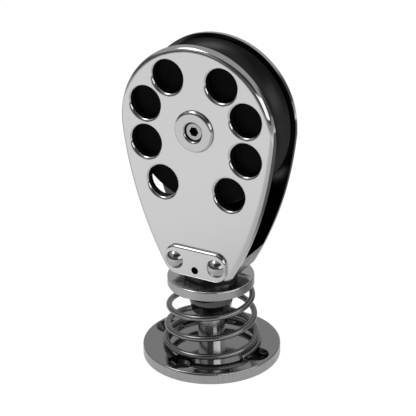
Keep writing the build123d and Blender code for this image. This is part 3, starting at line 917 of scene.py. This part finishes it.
@dataclass
class Spring:
    """The conical spring, wound of one wire, in two pieces.

    Attributes:
        wire: Diameter of the wire, in metres.
        bottom_radius: Radius of the wire's centre line on the deck plate, in metres.
        shoulder_radius: Radius of the wire's centre line where it starts to tuck into the cup.
        top_radius: Radius of the wire's centre line in the cup's groove, in metres.
        start_angle: Direction in which the lower end lies, in degrees.
        turns: How many turns the wire makes.
        cone_turns: Turns over which it narrows evenly to the shoulder.
        tuck_turns: Turns over which it then narrows to the groove.
        groove_depth: How far its upper end stands in the cup, in metres. Not used.
        lower_closed_turns: Turns that lie on each other at the lower end.
        upper_closed_turns: Turns that lie flat at the upper end.
        closed_gap: Gap between those, in metres.
        ease_turns: Half of the stretch over which the pitch changes.
        tip: Thickness left of the wire at a ground end, in metres.
        rows: Steps along one turn of the wire.
        columns: Steps round the wire.
    """

    finish: bpy.types.Material
    wire: float = 3.5 * MM
    bottom_radius: float = 27.4 * MM
    shoulder_radius: float = 23.6 * MM
    top_radius: float = 22.0 * MM
    start_angle: float = -23.0
    turns: float = 4.5
    cone_turns: float = 3.2
    tuck_turns: float = 0.4
    groove_depth: float = 4.0 * MM
    lower_closed_turns: float = 1.05
    upper_closed_turns: float = 0.6
    closed_gap: float = 0.1 * MM
    ease_turns: float = 0.1
    tip: float = 2.0 * MM
    rows: int = 110
    columns: int = 28

    def climb(self, turn: np.ndarray) -> np.ndarray:
        """Height of the centre line above its lower end.

        A closed stretch climbs one wire at a time, the turns past it climb at the active pitch,
        and a parabola joins the two. The upper half counts its turns and height from the top.

        Args:
            turn: Turns from the lower end.

        Returns:
            Heights in metres.
        """
        low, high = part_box("spring")
        length = high.z - low.z - 2 * (self.tip - self.wire / 2)
        pitch = self.wire + self.closed_gap
        both = self.lower_closed_turns + self.upper_closed_turns
        active = (length - pitch * both) / (self.turns - both)
        lower = turn <= self.turns / 2
        near = np.where(lower, turn, self.turns - turn)
        past = near - np.where(lower, self.lower_closed_turns, self.upper_closed_turns)
        eased = np.clip(past + self.ease_turns, 0, 2 * self.ease_turns) ** 2 / (4 * self.ease_turns)
        opened = eased + np.maximum(past - self.ease_turns, 0)
        climbed = pitch * near + (active - pitch) * opened
        return np.where(lower, climbed, length - climbed)

    def radius(self, turn: np.ndarray) -> np.ndarray:
        """Radius of the centre line: an even cone, a smooth tuck, then the groove's radius.

        Args:
            turn: Turns from the lower end.

        Returns:
            Radii in metres.
        """
        cone = np.minimum(turn / self.cone_turns, 1.0)
        tuck = np.clip((turn - self.cone_turns) / self.tuck_turns, 0.0, 1.0)
        shoulder = self.bottom_radius + (self.shoulder_radius - self.bottom_radius) * cone
        return shoulder + (self.top_radius - self.shoulder_radius) * tuck**2 * (3 - 2 * tuck)

    def line(self, turn: np.ndarray) -> np.ndarray:
        """Centre line of the wire: a helix with the climb and the radius above.

        Args:
            turn: Turns from the lower end.

        Returns:
            Points in metres, one row each.
        """
        radius = self.radius(turn)
        angle = np.radians(self.start_angle + 360 * turn)
        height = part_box("spring")[0].z + self.tip - self.wire / 2 + self.climb(turn)
        return np.stack([radius * np.cos(angle), radius * np.sin(angle), height], 1)

    def tube(self, start: float, end: float) -> Patch:
        """Carry the wire's circle along the centre line, and grind its ends flat.

        The circle stands across the line: one axis is level and points outwards, the other is at
        right angles to it and to the line. Points past the deck plate or the cup are moved onto
        that plane.

        Args:
            start: First turn of the stretch.
            end: Last turn of the stretch.

        Returns:
            The wire's wall, with its pattern in millimetres along and round it.
        """
        turn = np.linspace(start, end, round((end - start) * self.rows) + 1)
        nudge = 1e-4
        centre = self.line(turn)
        along = self.line(np.minimum(turn + nudge, self.turns)) - self.line(np.maximum(turn - nudge, 0.0))
        along /= np.linalg.norm(along, axis=1)[:, None]
        level = np.cross(along, [0.0, 0.0, 1.0])
        level /= np.linalg.norm(level, axis=1)[:, None]
        across = np.cross(level, along)
        angle = np.linspace(0, 2 * math.pi, self.columns + 1)
        normals = level[:, None, :] * np.cos(angle)[None, :, None]
        normals += across[:, None, :] * np.sin(angle)[None, :, None]
        points = centre[:, None, :] + self.wire / 2 * normals
        low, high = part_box("spring")
        below, above = points[..., 2] < low.z, points[..., 2] > high.z
        points[..., 2] = np.clip(points[..., 2], low.z, high.z)
        normals[below] = (0.0, 0.0, -1.0)
        normals[above] = (0.0, 0.0, 1.0)
        reach = np.linalg.norm(np.diff(centre, axis=0), axis=1).cumsum() / MM
        reach = np.concatenate([[0.0], reach]) + start * 2 * math.pi * self.bottom_radius / MM
        uv = np.stack(np.broadcast_arrays(reach[:, None], (angle * self.wire / 2 / MM)[None, :]), 2)
        return Patch(points, normals, uv)

    def cap(self, wall: Patch, row: int) -> Patch:
        """Close one end of the wire with a flat disc.

        Args:
            wall: The wire's wall.
            row: 0 for the first end of the wall, -1 for its last.

        Returns:
            The disc, from its middle to its edge.
        """
        edge = wall.points[row]
        middle = edge[:-1].mean(0)
        inside = wall.points[1 if row == 0 else -2][:-1].mean(0)
        outward = (middle - inside) / np.linalg.norm(middle - inside)
        points = np.stack([np.broadcast_to(middle, edge.shape), edge])
        return Patch(points, np.broadcast_to(outward, points.shape), np.stack([wall.uv[row], wall.uv[row]]))

    def half(self, name: str, start: float, end: float) -> bpy.types.Object:
        """Build one half of the spring as a closed piece.

        Args:
            name: The piece's name.
            start: First turn of the half.
            end: Last turn of the half.

        Returns:
            The piece, dressed.
        """
        wall = self.tube(start, end)
        piece = surface_object(name, [wall, self.cap(wall, 0), self.cap(wall, -1)])
        piece.data.materials.append(self.finish)
        return piece

    def build(self) -> list[bpy.types.Object]:
        """Build both halves of the wire, the lower from the deck plate to the middle turn and the upper from
        there to the cup, and hide the imported spring.

        Returns:
            The new pieces.
        """
        lower = self.half("spring_lower_turns", 0.0, self.turns / 2)
        upper = self.half("spring_upper_turns", self.turns / 2, self.turns)
        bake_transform(lower)
        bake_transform(upper)
        for piece in (lower, upper):
            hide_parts("spring")
        return [lower, upper]


@dataclass
class Dressing:
    """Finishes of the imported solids, by the name of their record slot.

    Attributes:
        finishes: The finish of each slot.
        special: Solids whose finish differs from their slot's.
    """

    finishes: dict[str, bpy.types.Material]
    special: dict[str, bpy.types.Material]

    def dress(self) -> None:
        """Put each solid's finish into its material slots."""
        for name, node in frame["nodes"].items():
            slot = node.data.materials[0].name.split(".")[0]
            finish = self.special.get(name, self.finishes[slot])
            for number in range(len(node.data.materials)):
                node.data.materials[number] = finish
            LOG.info("%s is %s", name, finish.name)


@dataclass(frozen=True)
class Card:
    """One panel of the studio, as seen from the block.

    Attributes:
        name: What it is called.
        right: Degrees from the camera to the panel's middle, to the right as the camera sees it.
        up: Degrees from the floor up to its middle.
        wide: How wide it looks, in degrees.
        tall: How tall it looks, in degrees.
        radiance: Its brightness, where 1 is white.
    """

    name: str
    right: float
    up: float
    wide: float
    tall: float
    radiance: float


@dataclass(frozen=True)
class Oval:
    """One oval of painted light on the floor, brighter or dimmer than the rest, as a reflection sees it.

    Attributes:
        right: Degrees from the camera to its middle, to the right as the camera sees it.
        distance: From the block to its middle, in metres.
        long: Half its length away from the block, in metres.
        wide: Half its width, in metres.
        level: Its brightness, as a share of the floor's brightest part.
        full: Share of it that has this level all over. The rest is its soft edge.
    """

    right: float
    distance: float
    long: float
    wide: float
    level: float
    full: float = 0.35


@dataclass
class Studio:
    """A pale floor, soft lamps and the dim walls that polished steel needs round it.

    Attributes:
        camera_turn: Direction of the camera, in degrees from -Y towards +X.
        floor_radius: Radius of the floor, in metres.
        lamp_distance: Distance of the lamps, in metres.
        target: The point they light, in metres.
        lamps: Soft lamps, which the steel reflects as white panels.
        dark_wall: The dim corner above and beside the camera.
        wall: Brightness of the other walls.
        band: Brightness of the dim strip between the floor and the walls.
        band_rise: Sines of the heights where the strip starts to fade and where it ends.
        back: Cosines of the turn away from the camera: no strip below the first, all above the second.
        fill: Brightness of the world for soft light.
        paper: Brightness of the floor to the camera, before the lamps light it.
        shaded: How much of the lamps' light the floor adds to that, which shows the shadow.
        bounce: How much light the floor throws back on soft surfaces.
        pool: Brightness of the floor in a reflection, where it is brightest.
        far: Brightness of the floor past the ovals, as a share of that.
        ovals: Painted pools of light and shade on the floor, each over the ones before it.
        covered: Painted shadow on the floor under the deck plate, also to the camera. Its level is absolute.
    """

    camera_turn: float
    floor_radius: float = 9.0
    lamp_distance: float = 1.2
    target: tuple[float, float, float] = (0.0, 0.0, 0.09)
    lamps: tuple[Card, ...] = (
        Card("key_softbox", -88.0, 57.0, 27.0, 20.0, 3.0),
        Card("right_softbox", 46.0, 20.0, 58.0, 26.0, 1.3),
    )
    dark_wall: Card = Card("dark_wall", 5.0, 46.0, 76.0, 42.0, 0.05)
    wall: float = 0.4
    band: float = 0.09
    band_rise: tuple[float, float] = (0.28, 0.42)
    back: tuple[float, float] = (-0.8, -0.6)
    fill: float = 0.35
    paper: float = 0.93
    shaded: float = 0.2
    bounce: float = 0.78
    pool: float = 0.82
    far: float = 0.3
    ovals: tuple[Oval, ...] = (
        Oval(-60.0, 0.1, 1.2, 1.0, 1.0, 0.5),
        Oval(-155.0, 0.5, 0.6, 0.45, 0.4),
        Oval(25.0, 0.3, 0.45, 0.3, 0.6),
        Oval(100.0, 0.4, 0.36, 0.25, 0.02, 0.75),
    )
    covered: Oval = Oval(0.0, 0.0, 0.039, 0.039, 0.01, 0.97)

    def direction(self, right: float, up: float) -> Vector:
        """Unit vector from the block towards a place in the studio.

        Args:
            right: Degrees to the right of the camera, as the camera sees it.
            up: Degrees above the floor.

        Returns:
            The direction in the frame's axes.
        """
        turn, rise = math.radians(self.camera_turn + right), math.radians(up)
        return Vector((math.sin(turn) * math.cos(rise), -math.cos(turn) * math.cos(rise), math.sin(rise)))

    def softbox(self, card: Card) -> None:
        """Hang one lamp as wide and tall as its card looks from the block.

        Args:
            card: The lamp's card.
        """
        lamp = bpy.data.lights.new(card.name, "AREA")
        lamp.shape = "RECTANGLE"
        lamp.size = 2 * self.lamp_distance * math.tan(math.radians(card.wide / 2))
        lamp.size_y = 2 * self.lamp_distance * math.tan(math.radians(card.tall / 2))
        lamp.energy = card.radiance * math.pi * lamp.size * lamp.size_y
        holder = bpy.data.objects.new(card.name, lamp)
        away = self.direction(card.right, card.up)
        holder.matrix_world = Matrix.Translation(Vector(self.target) + away * self.lamp_distance) @ (
            away.to_track_quat("Z", "Y").to_matrix().to_4x4()
        )
        holder.visible_camera = False
        bpy.context.scene.collection.objects.link(holder)

    def inside(self, tree: Tree, toward: Socket, card: Card, soft: float = 0.3) -> Socket:
        """1 in the directions of a card and 0 elsewhere, with a soft edge.

        The direction's parts along the card's width and height are divided by its part towards
        the card's middle, and each share is held against the tangent of half the card's angle.

        Args:
            tree: The world's node tree.
            toward: The direction that is looked in.
            card: The card.
            soft: Width of the soft edge, as a share of the card's half size.

        Returns:
            The socket that carries it.
        """
        middle = self.direction(card.right, card.up)
        level = Vector((0.0, 0.0, 1.0)).cross(middle).normalized()
        depth = add_node(tree, "ShaderNodeVectorMath", {0: toward, 1: middle}, operation="DOT_PRODUCT")
        ahead = add_node(tree, "ShaderNodeMath", {0: depth.outputs["Value"], 1: 0.001}, operation="MAXIMUM")
        shares = []
        for axis, angle in ((level, card.wide), (middle.cross(level), card.tall)):
            along = add_node(tree, "ShaderNodeVectorMath", {0: toward, 1: axis}, operation="DOT_PRODUCT")
            size = add_node(tree, "ShaderNodeMath", {0: along.outputs["Value"]}, operation="ABSOLUTE")
            parts = {0: size.outputs[0], 1: ahead.outputs[0]}
            share = add_node(tree, "ShaderNodeMath", parts, operation="DIVIDE")
            half = math.tan(math.radians(angle / 2))
            within = add_node(
                tree,
                "ShaderNodeMapRange",
                {"Value": share.outputs[0], "From Min": half * (1 + soft), "From Max": half * (1 - soft)},
                interpolation_type="SMOOTHSTEP",
            )
            shares.append(within.outputs["Result"])
        both = add_node(tree, "ShaderNodeMath", {0: shares[0], 1: shares[1]}, operation="MULTIPLY")
        return both.outputs[0]

    def pooled(self, tree: Tree, oval: Oval) -> Socket:
        """1 in an oval on the floor and 0 outside it, with a soft edge.

        Args:
            tree: The floor's node tree.
            oval: The oval.

        Returns:
            The socket that carries it.
        """
        away = self.direction(oval.right, 0.0)
        placed = {
            "Vector": add_node(tree, "ShaderNodeTexCoord").outputs["Object"],
            "Location": tuple(away * oval.distance),
            "Rotation": (0.0, 0.0, math.atan2(away.y, away.x)),
            "Scale": (oval.long, oval.wide, 1.0),
        }
        local = add_node(tree, "ShaderNodeMapping", placed, vector_type="TEXTURE")
        reach = add_node(tree, "ShaderNodeVectorMath", {0: local.outputs["Vector"]}, operation="LENGTH")
        share = add_node(
            tree,
            "ShaderNodeMapRange",
            {"Value": reach.outputs["Value"], "From Min": 1.0, "From Max": oval.full},
            interpolation_type="SMOOTHSTEP",
        )
        return share.outputs["Result"]

    def seen_straight(self, tree: Tree, path: bpy.types.Node) -> Socket:
        """1 for a ray from the camera, straight or through something clear, and 0 for others.

        Args:
            tree: The tree of the floor or the world.
            path: Its Light Path node.

        Returns:
            The socket that carries it.
        """
        kinds = {0: path.outputs["Is Camera Ray"], 1: path.outputs["Is Transmission Ray"]}
        return add_node(tree, "ShaderNodeMath", kinds, operation="MAXIMUM").outputs[0]

    def floor(self) -> None:
        """Lay the floor: rings of points at a few radii round the block.

        To the camera it is white paper with the block's faint shadow. A reflection sees it as a sheet of
        painted light, brightest in front to the left and dimmer elsewhere, as the ovals say.
        """
        steps = 96
        angle = np.linspace(0, 2 * math.pi, steps + 1)[None, :]
        radius = np.array([0.0, 0.4, 2.0, self.floor_radius])[:, None]
        level = np.zeros((len(radius), steps + 1))
        points = np.stack([radius * np.cos(angle), radius * np.sin(angle), level], 2)
        normals = np.broadcast_to(np.array([0.0, 0.0, 1.0]), points.shape)
        ground = surface_object("floor", [Patch(points, normals, points[..., :2])])
        material = bpy.data.materials.new("pale_paper_floor")
        material.use_nodes = True
        tree = material.node_tree
        tree.nodes.clear()
        path = add_node(tree, "ShaderNodeLightPath")
        # Painted light and shadow on the floor: each oval lays its level over the floor's glow, and the
        # covered oval a painted shadow under the deck plate
        coats = [(self.pooled(tree, oval), grey(self.pool * oval.level)) for oval in self.ovals]
        coats.append((self.seen_straight(tree, path), grey(self.paper)))
        coats.append((self.pooled(tree, self.covered), grey(self.covered.level)))
        glow = layered(tree, grey(self.pool * self.far), *coats)
        shaded = add_node(tree, "ShaderNodeBsdfDiffuse", {"Color": grey(self.shaded)})
        lit = add_node(tree, "ShaderNodeEmission", {"Color": glow, "Strength": 1.0})
        seen = add_node(tree, "ShaderNodeAddShader", {0: shaded.outputs[0], 1: lit.outputs[0]})
        bounce = add_node(tree, "ShaderNodeBsdfDiffuse", {"Color": grey(self.bounce)})
        parts = {0: path.outputs["Is Diffuse Ray"], 1: seen.outputs[0], 2: bounce.outputs[0]}
        mixed = add_node(tree, "ShaderNodeMixShader", parts)
        add_node(tree, "ShaderNodeOutputMaterial", {"Surface": mixed.outputs[0]})
        ground.data.materials.append(material)

    def world(self) -> None:
        """Set the world: white to the camera, walls to a reflection, an even fill to soft light.

        The walls are dim where the dark corner is, and in the strip above the floor, but for the
        back of the studio.
        """
        world = bpy.data.worlds.new("studio")
        bpy.context.scene.world = world
        world.use_nodes = True
        tree = world.node_tree
        tree.nodes.clear()
        toward = add_node(tree, "ShaderNodeTexCoord").outputs["Generated"]
        rise = add_node(tree, "ShaderNodeSeparateXYZ", {"Vector": toward}).outputs["Z"]
        axis = {0: toward, 1: self.direction(0.0, 0.0)}
        ahead = add_node(tree, "ShaderNodeVectorMath", axis, operation="DOT_PRODUCT").outputs["Value"]
        edges = [
            add_node(
                tree,
                "ShaderNodeMapRange",
                {"Value": value, "From Min": start, "From Max": end},
                interpolation_type="SMOOTHSTEP",
            ).outputs["Result"]
            for value, (start, end) in ((rise, self.band_rise[::-1]), (ahead, self.back))
        ]
        strip = add_node(tree, "ShaderNodeMath", {0: edges[0], 1: edges[1]}, operation="MULTIPLY")
        path = add_node(tree, "ShaderNodeLightPath")
        backdrop = layered(
            tree,
            grey(self.wall),
            (strip.outputs[0], grey(self.band)),
            (self.inside(tree, toward, self.dark_wall), grey(self.dark_wall.radiance)),
            (path.outputs["Is Diffuse Ray"], grey(self.fill)),
            (self.seen_straight(tree, path), grey(1.0)),
        )
        light = add_node(tree, "ShaderNodeBackground", {"Color": backdrop, "Strength": 1.0})
        add_node(tree, "ShaderNodeOutputWorld", {"Surface": light.outputs["Background"]})

    def build(self) -> None:
        """Build the floor, the lamps and the world."""
        self.floor()
        self.world()
        for card in self.lamps:
            self.softbox(card)


@dataclass
class PhotoCamera:
    """The camera at the photograph's own angle, distance and focal length.

    Attributes:
        turn: Direction of the camera from the block, in degrees from -Y towards +X.
        rise: Height of the camera above the target, in degrees.
        distance: Distance to the target, in metres.
        roll: Turn about the view axis, in degrees.
        lens: Focal length on a sensor 36 mm wide, in millimetres.
        target: The point in the middle of the picture, in metres.
    """

    turn: float = 29.63
    rise: float = 24.41
    distance: float = 0.90774
    roll: float = -0.8
    lens: float = 139.72
    target: tuple[float, float, float] = (-0.00097, -0.00055, 0.09087)

    def build(self) -> None:
        """Place the camera and make it the scene's own."""
        turn, rise = math.radians(self.turn), math.radians(self.rise)
        away = Vector((math.sin(turn) * math.cos(rise), -math.cos(turn) * math.cos(rise), math.sin(rise)))
        lens = bpy.data.cameras.new("photo_camera")
        lens.sensor_width = 36.0
        lens.lens = self.lens
        lens.clip_start, lens.clip_end = 0.01, 50.0
        camera = bpy.data.objects.new("photo_camera", lens)
        aim = away.to_track_quat("Z", "Y").to_matrix().to_4x4()
        tilt = Matrix.Rotation(math.radians(self.roll), 4, "Z")
        place = Matrix.Translation(Vector(self.target) + away * self.distance)
        camera.matrix_world = place @ aim @ tilt
        bpy.context.scene.collection.objects.link(camera)
        bpy.context.scene.camera = camera


def clear_startup() -> None:
    """Remove what a startup file holds, so that only the frame is left."""
    kept = set(frame["nodes"].values()) | set(frame["bodies"].values())
    for other in [item for item in bpy.data.objects if item not in kept]:
        bpy.data.objects.remove(other)
    bpy.context.view_layer.update()


def write_sizes() -> None:
    """Update the view layer.
    """
    bpy.context.view_layer.update()


def main() -> None:
    """Build the finishes, the new pieces, the studio and the camera, in that order."""
    logging.basicConfig(level=logging.INFO, format="%(name)s: %(message)s")
    clear_startup()
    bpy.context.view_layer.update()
    low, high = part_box("sheave")
    hub = tuple((low + high) / 2)
    finishes = {
        "mirror_steel": MirrorPolishedStainless().build(),
        "turned_steel": TurnedStainless().build(),
        "spring_steel": DrawnSpringWire().build(),
        "fastener_steel": MachinedStainless().build(),
        "black_sheave": MattBlackAcetal().build(),
        "bearing_plastic": MouldedBearingPlastic().build(),
    }
    cap, screw, rivet = SunkCap().build(), SunkScrew().build(), HeadedRivet().build()
    neck, strap = ShadeDarkenedSteel().build(), PolishedStrap().build()
    special = {
        "front_strap": strap,
        "rear_strap": strap,
        "base_plate": TurnedDeckPlate().build(),
        "lug": MilledStainless().build(),
        "post": PolishedPost().build(),
        "ball_socket": neck,
        "cross_pin": DarkShadedPin().build(),
        "left_rivet": rivet,
        "right_rivet": rivet,
        "front_hub_cap": cap,
        "rear_hub_cap": cap,
        "front_axle_screw": screw,
        "rear_axle_screw": screw,
    }
    Dressing(finishes, special).dress()
    sheave = Sheave(finishes["black_sheave"], RopePolishedAcetal(hub=hub).build())
    for assembly in (Spring(finishes["spring_steel"]), sheave):
        for piece in assembly.build():
            LOG.info("%s has %d faces", piece.name, len(piece.data.polygons))
    camera = PhotoCamera()
    Studio(camera_turn=camera.turn).build()
    camera.build()
    bpy.context.scene.view_settings.view_transform = "Standard"
    write_sizes()


if __name__ == "__main__":
    main()
